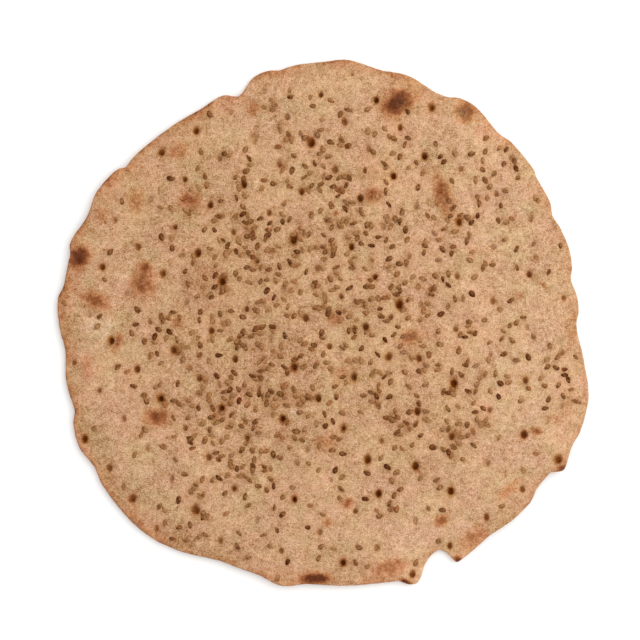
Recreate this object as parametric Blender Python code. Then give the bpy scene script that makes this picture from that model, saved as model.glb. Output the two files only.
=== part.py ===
"""A barley flatbread: one thin round bread, docked by a spiked roller and strewn with unhulled sesame.

It lies on z = 0, top side up, with its origin under the middle of its outline. The dough is one closed
body: a top sheet with the docking pits and low blisters, a rounded edge with its tears, and an underside
that is flat in the middle and lifts towards the edge. The sesame seeds are fused to the top.
Units are metres; tables of places are in millimetres, with bearings in degrees anticlockwise from +X.
"""

import bisect
import math
import random

import bmesh
import bpy
from mathutils import Euler, Matrix, Vector, noise
from mathutils.geometry import delaunay_2d_cdt

MM = 0.001

# The dough
THICKNESS = 3.4 * MM  # in the middle
EDGE_THICKNESS = 2.3 * MM
EDGE_TAPER = 14 * MM  # the width over which the dough thins towards its edge
EDGE_ROUND = 0.8 * MM  # how far the edge's widest line stands out from its two corners
SWELL = 0.3 * MM  # height of the slow unevenness of the rolled dough
SWELL_LENGTH = 24 * MM

# The edge, as the radius at each bearing. Two points close together are a tear or a sharp corner.
EDGE_POINTS = (
    (0, 104.1), (3, 105.2), (6, 105.0), (10, 103.4), (13, 105.0), (17, 105.6), (22, 105.0), (25, 104.1),
    (28, 105.7), (34.5, 106.3), (36, 107.3), (44, 107.4), (47, 106.5), (56, 109.1), (59, 108.3),
    (61.5, 106.2), (64, 105.8), (71.5, 107.8), (77, 106.9), (85, 108.9), (90, 107.6), (96.5, 106.8),
    (100, 105.7), (102, 106.4), (105.5, 105.4), (110.5, 99.9), (114, 102.6), (120, 101.6), (126, 102.1),
    (132, 102.7), (139.8, 103.7), (141.5, 103.4), (143, 105.5), (146, 106.7), (150, 107.6), (155.5, 106.5),
    (162.5, 109.1), (165, 107.7), (171, 107.7), (175, 109.6), (181, 108.4), (186, 106.7), (193.5, 108.4),
    (199, 108.2), (202, 110.9), (207, 112.5), (212, 111.1), (216, 112.5), (227.5, 113.4), (231.5, 112.9),
    (237, 111.0), (248, 106.3), (255, 106.6), (261, 109.1), (267, 107.2), (274, 108.0), (286, 110.2),
    (288.5, 113.2), (289.7, 113.6), (290.8, 112.3), (293, 107.4), (295.5, 104.8), (297, 104.6),
    (298.3, 107.0), (299.2, 112.6), (303, 111.8), (308, 110.7), (315, 112.1), (319, 112.3), (323, 110.8),
    (326.4, 111.4), (328.8, 115.6), (334, 113.8), (337, 114.3), (343, 113.6), (352, 108.2),
)  # fmt: skip
EDGE_STEP = 3.7 * MM  # longest stretch of edge between two corners of the mesh

SHOULDER = 0.955  # share of the radius where the top starts to fall to the edge
SHOULDER_STEP = 2  # every second corner of the edge has one at the shoulder
UNDER_RINGS = (0.94, 0.84, 0.74, 0.62)  # shares of the radius with corners of the underside's mesh
UNDER_STEP = 4
JOIN_DISTANCE = 1e-9  # the triangulation takes points closer than this as one

# Where the edge curled up in the oven: bearing, half width in degrees, height in mm
LIFTS = (
    (20, 34, 1.6), (88, 24, 1.1), (150, 32, 2.4), (205, 20, 0.9), (262, 30, 1.7), (312, 9, 2.2),
    (333, 15, 2.6),
)  # fmt: skip
LIFT_STARTS = 0.62  # share of the radius inside which the underside is flat
LIFT_CURVE = 1.5  # the lifted part curls up; 1 would be the plain smooth step

# Docking pits. Each pass of the roller is a slanted grid: first pit, step along it and step across it.
# The first pass bends a little, by the square terms; each pass covers its own side of one line.
FIRST_PIT = (-22.5, 45.8)
FIRST_ALONG = (9.9, -11.3)
FIRST_ACROSS = (-14.1, -8.5)
FIRST_BEND_ALONG = (0.0, -0.11)
FIRST_BEND_ACROSS = (-0.13, 0.03)
SECOND_PIT = (67.9, -35.1)
SECOND_ALONG = (14.3, -10.5)
SECOND_ACROSS = (-15.0, -11.6)
PASS_LINE = (33.0, 0.25)  # the passes meet at x = 33 + 0.25 y
PASS_REACH = 16  # grid steps each way, enough to cross the bread
PIT_WANDER = 0.4 * MM
PIT_RADII = (0.9 * MM, 1.4 * MM)  # narrowest and widest
PIT_SIDES = 6
PIT_FLOOR = 0.6 * MM  # dough left under a pit's point
PIT_MARGIN = 3.6 * MM  # least distance from a pit to the edge
PIT_CLEAR = 2.6 * MM  # from a pit to the mesh points round it
DIMPLE_DEPTH = 0.5 * MM  # the dough puffs up between the pits
DIMPLE_RADIUS = 4.2 * MM
DIMPLE_REACH = 2.5  # times its radius, where a dimple has faded out
PUFF_LIMIT = 0.925  # share of the radius inside which the puffed dough has mesh points of its own

# Low blisters where the crust scorched: x, y, half length, half width, turn in degrees, height, in mm
BLISTERS = (
    (31, 90, 7.5, 5.5, 40, 0.8), (49, 53, 9, 4, -70, 0.7), (58, 86, 5, 4, 20, 0.5), (20, 53, 4.5, 4, 0, 0.5),
    (-74, 19, 6, 5, 70, 0.7), (-99, 27, 5, 4, 80, 0.5), (-94, 10, 6, 3.5, -15, 0.5), (-68, -38, 6, 4, 5, 0.6),
    (-3, -103, 7, 3, 0, 0.4), (-55, 51, 5, 4, 30, 0.4), (61, -88, 8, 4, 30, 0.5), (27, -99, 8, 4, 10, 0.5),
)  # fmt: skip

# Sesame. Patches where it fell thickest: x, y, spread in mm, and the share of the ground that takes a seed
SEED_PATCHES = (
    (-3, 22, 30, 0.62), (4, 72, 17, 0.34), (-38, 38, 17, 0.40), (30, 8, 22, 0.50), (-50, -12, 22, 0.42),
    (-34, -50, 21, 0.62), (-30, -76, 13, 0.32), (46, -30, 15, 0.72), (54, -4, 14, 0.34), (78, 66, 9, 0.70),
    (62, 34, 22, 0.24), (-60, -82, 7, 0.50), (94, -26, 7, 0.42), (20, -62, 26, 0.14), (-72, -6, 16, 0.18),
)  # fmt: skip
SEED_LENGTH = 3.2 * MM
SEED_WIDTH = 2.0 * MM
SEED_HEIGHT = 0.55 * MM  # above the dough
SEED_ROOT = 0.45 * MM  # below it
SEED_SIDES = 6
SEED_RIDGE = (-0.2, 0.12)  # blunt and pointed end of a seed's ridge, in shares of its length
SEED_SIZES = (0.86, 1.12)
SEED_COUNT = 322
STRAY_SHARE = 0.03  # share of the ground that takes a seed far from the patches
SEED_SPACING = 3.9 * MM
SEED_PIT_GAP = 1.3 * MM + SEED_LENGTH / 2  # from a seed's middle to a pit's rim
SEED_MARGIN = 5 * MM
SEED_TRIES = 60000
RANDOM_SEED = 11

CRUST_COLOUR = (0.56, 0.32, 0.17, 1)
SESAME_COLOUR = (0.14, 0.07, 0.035, 1)


def bearing_of(point):
    """Degrees anticlockwise from +X, from 0 up to but not 360, which a tiny negative angle would round to."""
    return math.degrees(math.atan2(point.y, point.x)) % 360 % 360


def smooth_step(t):
    t = min(max(t, 0.0), 1.0)
    return t * t * (3 - 2 * t)


def edge_slopes():
    """Slope of the edge's radius at each of its points, in mm a degree, so that no point is overshot."""
    count = len(EDGE_POINTS)
    rises = []
    for k, (bearing, radius) in enumerate(EDGE_POINTS):
        next_bearing, next_radius = EDGE_POINTS[(k + 1) % count]
        rises.append((next_radius - radius) / ((next_bearing - bearing) % 360))
    slopes = []
    for k in range(count):
        before, after = rises[k - 1], rises[k]
        slopes.append(2 * before * after / (before + after) if before * after > 0 else 0.0)
    return slopes


def edge_radius(k, share, slopes):
    """Radius of the edge, in metres, at a share of the way from point k to the next."""
    bearing, radius = EDGE_POINTS[k]
    next_bearing, next_radius = EDGE_POINTS[(k + 1) % len(EDGE_POINTS)]
    span = (next_bearing - bearing) % 360
    rise = smooth_step(share)
    bend = share * (1 - share) * span
    leaving = slopes[k] * bend * (1 - share)
    arriving = slopes[(k + 1) % len(slopes)] * bend * share
    return (radius + (next_radius - radius) * rise + leaving - arriving) * MM


def edge_ring():
    """The edge seen from above, anticlockwise, with a corner at each named point."""
    slopes = edge_slopes()
    ring = []
    for k, (bearing, radius) in enumerate(EDGE_POINTS):
        next_bearing, next_radius = EDGE_POINTS[(k + 1) % len(EDGE_POINTS)]
        span = (next_bearing - bearing) % 360
        stretch = math.hypot(radius * math.radians(span), next_radius - radius) * MM
        steps = math.ceil(stretch / EDGE_STEP)
        for step in range(steps):
            share = step / steps
            angle = math.radians(bearing + span * share)
            ring.append(Vector((math.cos(angle), math.sin(angle))) * edge_radius(k, share, slopes))
    return ring


def inset_ring(ring, distance):
    """The ring moved inwards, square to itself."""
    moved = []
    for k, point in enumerate(ring):
        along = (ring[(k + 1) % len(ring)] - ring[k - 1]).normalized()
        moved.append(point + Vector((-along.y, along.x)) * distance)
    return moved


def scaled_ring(ring, share, keep_every):
    return [point * share for point in ring[::keep_every]]


class Edge:
    """Answers how far out a point lies, along the radius through it."""

    def __init__(self, ring):
        self.radii = [point.length for point in ring] + [ring[0].length]
        self.bearings = [bearing_of(point) for point in ring] + [360.0]

    def radius(self, point):
        bearing = bearing_of(point)
        k = bisect.bisect_right(self.bearings, bearing) - 1
        share = (bearing - self.bearings[k]) / (self.bearings[k + 1] - self.bearings[k])
        return self.radii[k] + (self.radii[k + 1] - self.radii[k]) * share

    def share(self, point):
        """0 at the origin and 1 at the edge."""
        return point.length / self.radius(point)

    def depth(self, point):
        """Distance in from the edge."""
        return self.radius(point) - point.length


def lift(point, edge):
    """Height of the underside above the table."""
    rise = 0.0
    for middle, half_width, height in LIFTS:
        away = (bearing_of(point) - middle + 180) % 360 - 180
        rise += height * MM * math.exp(-((away / half_width) ** 2))
    out = smooth_step((edge.share(point) - LIFT_STARTS) / (1 - LIFT_STARTS))
    return rise * out**LIFT_CURVE


def blister(point):
    height = 0.0
    for x, y, half_length, half_width, turn, rise in BLISTERS:
        away = Matrix.Rotation(-math.radians(turn), 2) @ (point / MM - Vector((x, y)))
        spread = (away.x / half_length) ** 2 + (away.y / half_width) ** 2
        height += rise * MM * math.exp(-spread)
    return height


def dimple(point, pits):
    depth = 0.0
    for pit, _ in pits:
        away = (point - pit).length / DIMPLE_RADIUS
        if away < DIMPLE_REACH:
            depth += DIMPLE_DEPTH * math.exp(-away * away)
    return depth


def top_height(point, edge, pits):
    thinned = smooth_step(edge.depth(point) / EDGE_TAPER)
    thickness = EDGE_THICKNESS + (THICKNESS - EDGE_THICKNESS) * thinned
    swell = SWELL * noise.noise((point / SWELL_LENGTH).to_3d())
    return lift(point, edge) + thickness + swell + blister(point) - dimple(point, pits)


def pass_points(first, along, across, bend_along, bend_across, shift):
    """Grid points of one pass of the roller, in metres, shifted by a share of each step."""
    for i in range(-PASS_REACH, PASS_REACH):
        for j in range(-PASS_REACH, PASS_REACH):
            u, v = i + shift[0], j + shift[1]
            x = first[0] + u * along[0] + v * across[0] + u * u * bend_along[0] + v * v * bend_across[0]
            y = first[1] + u * along[1] + v * across[1] + u * u * bend_along[1] + v * v * bend_across[1]
            yield Vector((x, y)) * MM


def roller_points(shift=(0.0, 0.0)):
    """Grid points of both passes, each on its own side of the line where they meet."""
    line_x, line_slope = PASS_LINE
    straight = (0.0, 0.0)
    first = pass_points(FIRST_PIT, FIRST_ALONG, FIRST_ACROSS, FIRST_BEND_ALONG, FIRST_BEND_ACROSS, shift)
    second = pass_points(SECOND_PIT, SECOND_ALONG, SECOND_ACROSS, straight, straight, shift)
    points = [point for point in first if point.x < line_x * MM + line_slope * point.y]
    points += [point for point in second if point.x >= line_x * MM + line_slope * point.y]
    return points


def docking_pits(edge, rng):
    """Middle and radius of each pit."""
    pits = []
    for point in roller_points():
        pit = point + Vector((rng.uniform(-PIT_WANDER, PIT_WANDER), rng.uniform(-PIT_WANDER, PIT_WANDER)))
        radius = rng.uniform(*PIT_RADII)
        far_enough = all((pit - other).length > 2 * DIMPLE_RADIUS for other, _ in pits)
        if edge.depth(pit) > PIT_MARGIN and far_enough:
            pits.append((pit, radius))
    return pits


def seed_share(point):
    share = STRAY_SHARE
    for x, y, spread, most in SEED_PATCHES:
        away = (point / MM - Vector((x, y))).length / spread
        share += most * math.exp(-away * away / 2)
    return share


def scattered_seeds(edge, pits, rng):
    """Places of the seeds, each with its turn and size: thickest in the patches, clear of pits and edge."""
    reach = max(edge.radii)
    places = []
    for _ in range(SEED_TRIES):
        point = Vector((rng.uniform(-reach, reach), rng.uniform(-reach, reach)))
        turn, size, luck = rng.uniform(0, math.tau), rng.uniform(*SEED_SIZES), rng.random()
        if edge.depth(point) < SEED_MARGIN or luck > seed_share(point):
            continue
        if any((point - pit).length < SEED_PIT_GAP + radius for pit, radius in pits):
            continue
        if any((point - other).length < SEED_SPACING for other, _, _ in places):
            continue
        places.append((point, turn, size))
        if len(places) == SEED_COUNT:
            break
    return places


def sheet(bm, ring, inner_points, height):
    """A triangulated sheet through the points, at the height that each has. Returns the ring's corners."""
    flat = list(ring) + list(inner_points)
    outline = [list(range(len(ring)))]
    points, _, faces, _, _, _ = delaunay_2d_cdt(flat, [], outline, 1, JOIN_DISTANCE)
    verts = [bm.verts.new((point.x, point.y, height(point))) for point in points]
    for face in faces:
        bm.faces.new([verts[k] for k in face])
    return verts[: len(ring)]


def band(bm, upper, lower):
    """Four-sided faces between two rings of as many corners."""
    for k in range(len(upper)):
        bm.faces.new((upper[k - 1], upper[k], lower[k], lower[k - 1]))


def top_points(edge, ring, pits):
    """Each pit's rim and point, the puffed dough between the pits, and a ring at the shoulder."""
    points = []
    for pit, radius in pits:
        points.append(pit)
        for side in range(PIT_SIDES):
            angle = math.tau * side / PIT_SIDES
            points.append(pit + Vector((math.cos(angle), math.sin(angle))) * radius)
    between = scaled_ring(ring, SHOULDER, SHOULDER_STEP)
    for shift in ((0.5, 0.0), (0.0, 0.5), (0.5, 0.5)):
        between += [point for point in roller_points(shift) if edge.share(point) < PUFF_LIMIT]
    return points + [point for point in between if all((point - pit).length > PIT_CLEAR for pit, _ in pits)]


def dough(edge, ring, pits):
    """The bread without its seeds."""
    bm = bmesh.new()

    def top(point):
        if any((point - pit).length < radius / 2 for pit, radius in pits):
            return lift(point, edge) + PIT_FLOOR
        return top_height(point, edge, pits)

    def underside(point):
        return lift(point, edge)

    inner_ring = inset_ring(ring, EDGE_ROUND)
    under_points = [point for share in UNDER_RINGS for point in scaled_ring(ring, share, UNDER_STEP)]
    upper = sheet(bm, inner_ring, top_points(edge, ring, pits), top)
    lower = sheet(bm, inner_ring, under_points, underside)
    middle = []
    for point, high, low in zip(ring, upper, lower):
        middle.append(bm.verts.new((point.x, point.y, (high.co.z + low.co.z) / 2)))
    band(bm, upper, middle)
    band(bm, middle, lower)
    bmesh.ops.recalc_face_normals(bm, faces=bm.faces)
    return bm


def plain_material(name, colour, roughness):
    material = bpy.data.materials.new(name)
    material.use_nodes = True
    shader = material.node_tree.nodes["Principled BSDF"]
    shader.inputs["Base Color"].default_value = colour
    shader.inputs["Roughness"].default_value = roughness
    return material


def seed_mesh():
    """One seed, 1 long, 1 wide and pointed at +X: a six-sided foot that rises to a short ridge."""
    blunt_end, pointed_end = SEED_RIDGE
    bm = bmesh.new()
    foot = bmesh.ops.create_circle(bm, cap_ends=True, segments=SEED_SIDES, radius=0.5)["verts"]
    ridge = bmesh.ops.extrude_face_region(bm, geom=list(bm.faces), use_keep_orig=True)["geom"]
    ridge = [item for item in ridge if isinstance(item, bmesh.types.BMVert)]
    for vert in foot:
        vert.co.z = -SEED_ROOT
    for vert in ridge:
        vert.co = Vector((blunt_end if vert.co.x < 0 else pointed_end, 0, SEED_HEIGHT))
    bmesh.ops.remove_doubles(bm, verts=bm.verts, dist=1e-5)
    bmesh.ops.dissolve_degenerate(bm, edges=bm.edges, dist=1e-6)
    bmesh.ops.recalc_face_normals(bm, faces=bm.faces)
    mesh = bpy.data.meshes.new("sesame_seed")
    bm.to_mesh(mesh)
    bm.free()
    mesh.materials.append(plain_material("sesame", SESAME_COLOUR, 0.5))
    return mesh


def seed_objects(edge, pits, rng):
    """Each seed as an object in one collection, pressed into the top."""
    collection = bpy.data.collections.new("sesame_seeds")
    bpy.context.scene.collection.children.link(collection)
    mesh = seed_mesh()
    for number, (point, turn, size) in enumerate(scattered_seeds(edge, pits, rng)):
        seed = bpy.data.objects.new(f"seed_{number:03d}", mesh)
        seed.location = (point.x, point.y, top_height(point, edge, pits))
        seed.rotation_euler = Euler((0, 0, turn))
        seed.scale = (SEED_LENGTH * size, SEED_WIDTH * size, 1)
        collection.objects.link(seed)
    return collection


def fuse(bread, collection):
    """Joins the collection's objects to the bread with one union, then removes them."""
    union = bread.modifiers.new("sesame", "BOOLEAN")
    union.operation = "UNION"
    union.operand_type = "COLLECTION"
    union.collection = collection
    union.solver = "EXACT"
    union.material_mode = "TRANSFER"
    graph = bpy.context.evaluated_depsgraph_get()
    fused = bpy.data.meshes.new_from_object(bread.evaluated_get(graph))
    bread.modifiers.clear()
    bread.data = fused
    for seed in list(collection.objects):
        bpy.data.objects.remove(seed)
    bpy.data.collections.remove(collection)


def main():
    for old in list(bpy.data.objects):
        bpy.data.objects.remove(old)
    rng = random.Random(RANDOM_SEED)
    ring = edge_ring()
    edge = Edge(ring)
    pits = docking_pits(edge, rng)

    bm = dough(edge, ring, pits)
    mesh = bpy.data.meshes.new("barley_bread")
    bm.to_mesh(mesh)
    bm.free()
    mesh.materials.append(plain_material("barley_crust", CRUST_COLOUR, 0.85))
    bread = bpy.data.objects.new("barley_bread", mesh)
    bpy.context.scene.collection.objects.link(bread)
    fuse(bread, seed_objects(edge, pits, rng))

    middle_x = (min(point.x for point in ring) + max(point.x for point in ring)) / 2
    middle_y = (min(point.y for point in ring) + max(point.y for point in ring)) / 2
    bread.data.transform(Matrix.Translation((-middle_x, -middle_y, 0)))


main()
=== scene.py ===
"""The looks of a thin round barley flatbread: its grained crust, its brown sesame and a plain studio.

The file is laid out as an add-on with one operator for each piece, and is run as a script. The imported
model is the frame: the crust and the seeds stand for its one solid and keep that solid's form, with the
finer relief, the finer seeds and the colours added.
Units are metres; tables of places are in millimetres, with bearings in degrees anticlockwise from +X. All
is laid out round the origin of these tables, and each finished mesh is then moved to the model's origin.
"""

import bisect
import functools
import math
import random

import bmesh
import bpy
from mathutils import Euler, Matrix, Vector, noise
from mathutils.kdtree import KDTree


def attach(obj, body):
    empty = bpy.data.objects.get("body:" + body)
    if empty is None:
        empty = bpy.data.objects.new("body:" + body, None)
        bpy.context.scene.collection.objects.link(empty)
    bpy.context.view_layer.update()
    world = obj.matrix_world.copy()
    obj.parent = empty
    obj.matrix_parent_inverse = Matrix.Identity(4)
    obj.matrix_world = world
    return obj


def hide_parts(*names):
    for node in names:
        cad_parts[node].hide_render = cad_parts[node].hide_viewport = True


bl_info = {
    "name": "Barley Flatbread",
    "version": (1, 0, 0),
    "blender": (4, 5, 0),
    "location": "View3D > Sidebar > Flatbread",
    "description": "Builds the crust, the sesame and the stage of a round barley flatbread",
    "category": "Object",
}

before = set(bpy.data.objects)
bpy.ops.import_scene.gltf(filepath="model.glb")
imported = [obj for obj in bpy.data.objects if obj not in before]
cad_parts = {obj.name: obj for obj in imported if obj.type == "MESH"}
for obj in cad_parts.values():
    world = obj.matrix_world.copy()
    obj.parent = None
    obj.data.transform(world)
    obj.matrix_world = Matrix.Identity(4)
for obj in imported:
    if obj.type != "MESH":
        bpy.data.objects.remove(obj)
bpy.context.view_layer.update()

MM = 0.001
NODE = "barley_bread"
BODY = "root"

# The dough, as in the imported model
THICKNESS = 3.4 * MM  # in the middle
EDGE_THICKNESS = 2.3 * MM
EDGE_TAPER = 14 * MM  # the width over which the dough thins towards its edge
EDGE_ROUND = 0.8 * MM  # how far the edge's widest line stands out from the top and the underside
SWELL = 0.3 * MM  # height of the slow unevenness of the rolled dough
SWELL_LENGTH = 24 * MM

# The finer relief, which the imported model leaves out
RELIEF_ROUGHNESS = 0.8  # how much weaker each finer size of unevenness is; 0 would keep them all alike
RELIEF_STEP = 2.0  # how much finer each size is than the one before
RELIEF_SIZES = 3
WEAR_LENGTH = 2.6 * MM  # width of a crumb that is gone from the edge
WEAR_LEAST = 0.2  # share of the wear that the edge has everywhere
STONE_RELIEF = 0.10 * MM  # unevenness of the underside
STONE_LENGTH = 5 * MM
UNDERSIDE_MARGIN = 2.4 * EDGE_ROUND  # from the outline to the underside's own grid

# The grid of the top is evened out near the rim, where it has to follow the worn edge
EVENED_WIDTH = 9 * MM
EVENING_ROUNDS = 8
EVENING = 0.5  # share of the way that a vertex moves to the middle of its neighbours

# The edge, as the radius at each bearing. Two points close together are a tear or a sharp corner.
EDGE_POINTS = (
    (0, 104.1), (3, 105.2), (6, 105.0), (10, 103.4), (13, 105.0), (17, 105.6), (22, 105.0), (25, 104.1),
    (28, 105.7), (34.5, 106.3), (36, 107.3), (44, 107.4), (47, 106.5), (56, 109.1), (59, 108.3),
    (61.5, 106.2), (64, 105.8), (71.5, 107.8), (77, 106.9), (85, 108.9), (90, 107.6), (96.5, 106.8),
    (100, 105.7), (102, 106.4), (105.5, 105.4), (110.5, 99.9), (114, 102.6), (120, 101.6), (126, 102.1),
    (132, 102.7), (139.8, 103.7), (141.5, 103.4), (143, 105.5), (146, 106.7), (150, 107.6), (155.5, 106.5),
    (162.5, 109.1), (165, 107.7), (171, 107.7), (175, 109.6), (181, 108.4), (186, 106.7), (193.5, 108.4),
    (199, 108.2), (202, 110.9), (207, 112.5), (212, 111.1), (216, 112.5), (227.5, 113.4), (231.5, 112.9),
    (237, 111.0), (248, 106.3), (255, 106.6), (261, 109.1), (267, 107.2), (274, 108.0), (286, 110.2),
    (288.5, 113.2), (289.7, 113.6), (290.8, 112.3), (293, 107.4), (295.5, 104.8), (297, 104.6),
    (298.3, 107.0), (299.2, 112.6), (303, 111.8), (308, 110.7), (315, 112.1), (319, 112.3), (323, 110.8),
    (326.4, 111.4), (328.8, 115.6), (334, 113.8), (337, 114.3), (343, 113.6), (352, 108.2),
)
EDGE_STEP = 3.7 * MM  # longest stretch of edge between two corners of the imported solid
FINE_STEP = 0.5 * MM  # the same for the crust's own edge

# Where the edge curled up in the oven: bearing, half width in degrees, height in mm
LIFTS = (
    (20, 34, 1.6), (88, 24, 1.1), (150, 32, 2.4), (205, 20, 0.9), (262, 30, 1.7), (312, 9, 2.2),
    (333, 15, 2.6),
)
LIFT_STARTS = 0.62  # share of the radius inside which the underside is flat
LIFT_CURVE = 1.5  # the lifted part curls up; 1 would be the plain smooth step

# Docking pits. Each pass of the roller is a slanted grid: first pit, step along it and step across it.
# The first pass bends a little, by the square terms; each pass covers its own side of one line.
FIRST_PIT = (-22.5, 45.8)
FIRST_ALONG = (9.9, -11.3)
FIRST_ACROSS = (-14.1, -8.5)
FIRST_BEND_ALONG = (0.0, -0.11)
FIRST_BEND_ACROSS = (-0.13, 0.03)
SECOND_PIT = (67.9, -35.1)
SECOND_ALONG = (14.3, -10.5)
SECOND_ACROSS = (-15.0, -11.6)
PASS_LINE = (33.0, 0.25)  # the passes meet at x = 33 + 0.25 y
PASS_REACH = 16  # grid steps each way, enough to cross the bread
PIT_WANDER = 0.4 * MM
PIT_RADII = (0.9 * MM, 1.4 * MM)  # narrowest and widest
PIT_FLOOR = 0.6 * MM  # dough left under a pit's point
PIT_MARGIN = 3.6 * MM  # least distance from a pit to the edge
DIMPLE_DEPTH = 0.5 * MM  # the dough puffs up between the pits
DIMPLE_RADIUS = 4.2 * MM
DIMPLE_REACH = 2.5  # times its radius, where a dimple has faded out
WIDE_PITS = ((-28.1, 76.4), (-51.5, -77.4), (-20.5, -73.5))  # where the spikes tore the dough
WIDE_PIT_RADIUS = 1.75 * MM
PIT_MOUTH = 1.45  # times its radius, where a pit's rounded rim starts
PIT_PROFILE = ((1.22, 0.05), (1.0, 0.20), (0.78, 0.54), (0.50, 0.88))  # times its radius, share of depth
PIT_DEPTHS = (0.5, 1.0)  # share of its depth that the most closed pit and the most open one still have
PIT_STRETCH = (0.92, 1.18)  # times its radius, across and along, as the rolling spikes drew it out
PIT_LEAN = Vector((0.04, -0.46)) * MM  # how far a pit's floor lies off its mouth, for the same reason
PIT_WOBBLE = 0.22  # how far a pit's mouth is from round, as a share of its radius
PIT_INSET = 0.05 * MM  # any short step, as each ring of a pit's wall is placed afterwards
LEAST_TURN = 0.12  # least angle between two corners of a pit's mouth, in radians

# The dough browns round a pit and, deeper in the pit, is painted darker still as painted shade; it is also
# drawn faintly darker round each seed
PIT_STAIN_AND_SHADE_RADII = (1.3 * MM, 2.0 * MM)  # narrowest and widest
PIT_STAINS_AND_SHADE = (0.14, 1.34)  # the palest pit's and the darkest's; the more open and deeper a pit, the darker its painted shade
SEED_DARKENING_RADIUS = 1.9 * MM
SEED_DARKENING = 0.26

# Low blisters where the crust scorched: x, y, half length, half width, turn in degrees, height, in mm
BLISTERS = (
    (31, 90, 7.5, 5.5, 40, 0.8), (49, 53, 9, 4, -70, 0.7), (58, 86, 5, 4, 20, 0.5),
    (20, 53, 4.5, 4, 0, 0.5), (-74, 19, 6, 5, 70, 0.7), (-99, 27, 5, 4, 80, 0.5),
    (-94, 10, 6, 3.5, -15, 0.5), (-68, -38, 6, 4, 5, 0.6), (-3, -103, 7, 3, 0, 0.4),
    (-55, 51, 5, 4, 30, 0.4), (61, -88, 8, 4, 30, 0.5), (27, -99, 8, 4, 10, 0.5),
)

# How strongly the oven marked the top: x, y, half length, half width, turn, strength. 1 is burnt brown, a
# third is a pink blush, and below 0 is a floury patch.
SCORCHES = (
    (30.5, 90.3, 6.9, 4.8, 35, 0.83), (49, 52.8, 9, 3.5, -72, 0.53), (58.4, 86.4, 4.2, 3.8, 30, 0.50),
    (19.9, 52.6, 4, 3.2, 20, 0.52), (-74, 16.6, 6, 4.8, 80, 0.49), (-73, 23.6, 2.8, 1.8, 0, 0.5),
    (-99.8, 27.2, 4.8, 4, 60, 0.74), (-93.7, 9.5, 6, 3.4, -20, 0.52), (-67.9, -38.4, 5.4, 3.4, 5, 0.57),
    (-2.7, -104.2, 6, 2.1, 0, 0.80), (-54.7, 50.5, 4.2, 3.6, 0, 0.50), (-76.5, 50.5, 5.5, 3.2, 80, 0.30),
    (-28.9, 88.3, 3, 2.8, 0, 0.36), (1.8, -48.7, 5, 3.3, 0, 0.25), (10, -73.7, 2.2, 2, 0, 0.50),
    (48.6, -80.7, 3.3, 2.1, 30, 0.52), (60.9, -87.6, 6, 3.3, 35, 0.36), (66.4, -85.8, 2.4, 1.3, 25, 0.22),
    (27.3, -99.9, 7, 3.2, 10, 0.36), (8.8, -21.2, 5, 3.3, 0, 0.25), (4.7, 2.2, 3.3, 3, 0, 0.25),
    (5.5, 45.2, 1.3, 1.1, 0, 0.6), (35.5, -5.6, 4.2, 2.6, 10, 0.42), (87, -44, 2, 1.7, 0, 0.58),
    (-84.7, -7.7, 4.3, 1.9, 65, 0.50), (1.4, -81.5, 2.2, 2, 0, 0.28), (-59.7, 0.5, 2.6, 2.2, 20, 0.36),
    (79.8, 11.2, 2.2, 2, 0, 0.25), (101.5, -2.8, 6, 2.4, 85, 0.22), (-90, 61, 7, 3, 50, 0.24),
    (-91.6, -1.5, 6, 3.6, -20, -0.13), (-11.7, -36.4, 3, 2.2, 0, -0.16), (30.5, 13.6, 3, 2.2, 0, -0.16),
    (-101, 50, 4, 2.2, 60, 0.24), (-90.5, 44.5, 3.2, 2.6, 80, 0.26), (-34, 98, 3.4, 1.8, 20, 0.32),
    (-97, -18, 5, 2, 95, 0.20), (-59, 70.6, 4.4, 3, 10, 0.28), (76, -68, 6, 2, 42, 0.24),
    (100, -34, 6, 2.4, 85, 0.16), (94, -39, 3, 2.2, 0, 0.24), (38, -8, 9, 5, 30, 0.10),
    (-48, 20, 12, 6, 40, 0.08), (20, 62, 8, 5, 10, 0.10), (-20, -30, 10, 6, -30, 0.08),
    (55.3, -96.8, 1.8, 1.3, -50, 0.80), (33.8, -105.8, 2.2, 1, -20, 0.80), (97.6, -59, 2, 1.4, 40, 0.65),
    (89.6, 16.2, 4.2, 0.7, -48, 0.40),
)
SCORCH_REACH = 2.6  # times its half sizes, where a scorch mark has faded out
SCORCH_EDGE = 1.3  # how sharply a scorch mark ends; 1 would be a plain bell

# Where the whole dough is a shade darker, or below 0 paler: x, y, spread in mm, and how much
SHADE_PATCHES = (
    (-20, 5, 36, 0.12), (43, -43, 17, 0.09), (-58, 56, 17, 0.10), (-56, -5, 16, 0.03), (83, 0, 18, -0.05),
    (90, -42, 22, -0.09), (52, -100, 14, -0.24), (-33, -99, 9, 0.03), (-55, -97, 11, 0.12),
    (76, 76, 13, -0.10), (64, 42, 18, -0.07), (80, -24, 16, -0.05), (-2, 12, 15, -0.06),
    (30, -78, 11, -0.05),
)

# The browned rim: how wide it is at a bearing, and how brown. It is drawn browner towards one bearing on
# the left, away from the key light, which is painted shade.
RIM_WIDTH = 3.0 * MM
RIM_SHADED_BEARING = 165  # bearing at which the rim is painted darkest, as painted shade
RIM_BROWNS = (0.12, 0.36)  # opposite that bearing, and at it
RIM_PATCHINESS = 1.2  # how much its brown comes and goes
RIM_PATCH_LENGTH = 9 * MM

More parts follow.
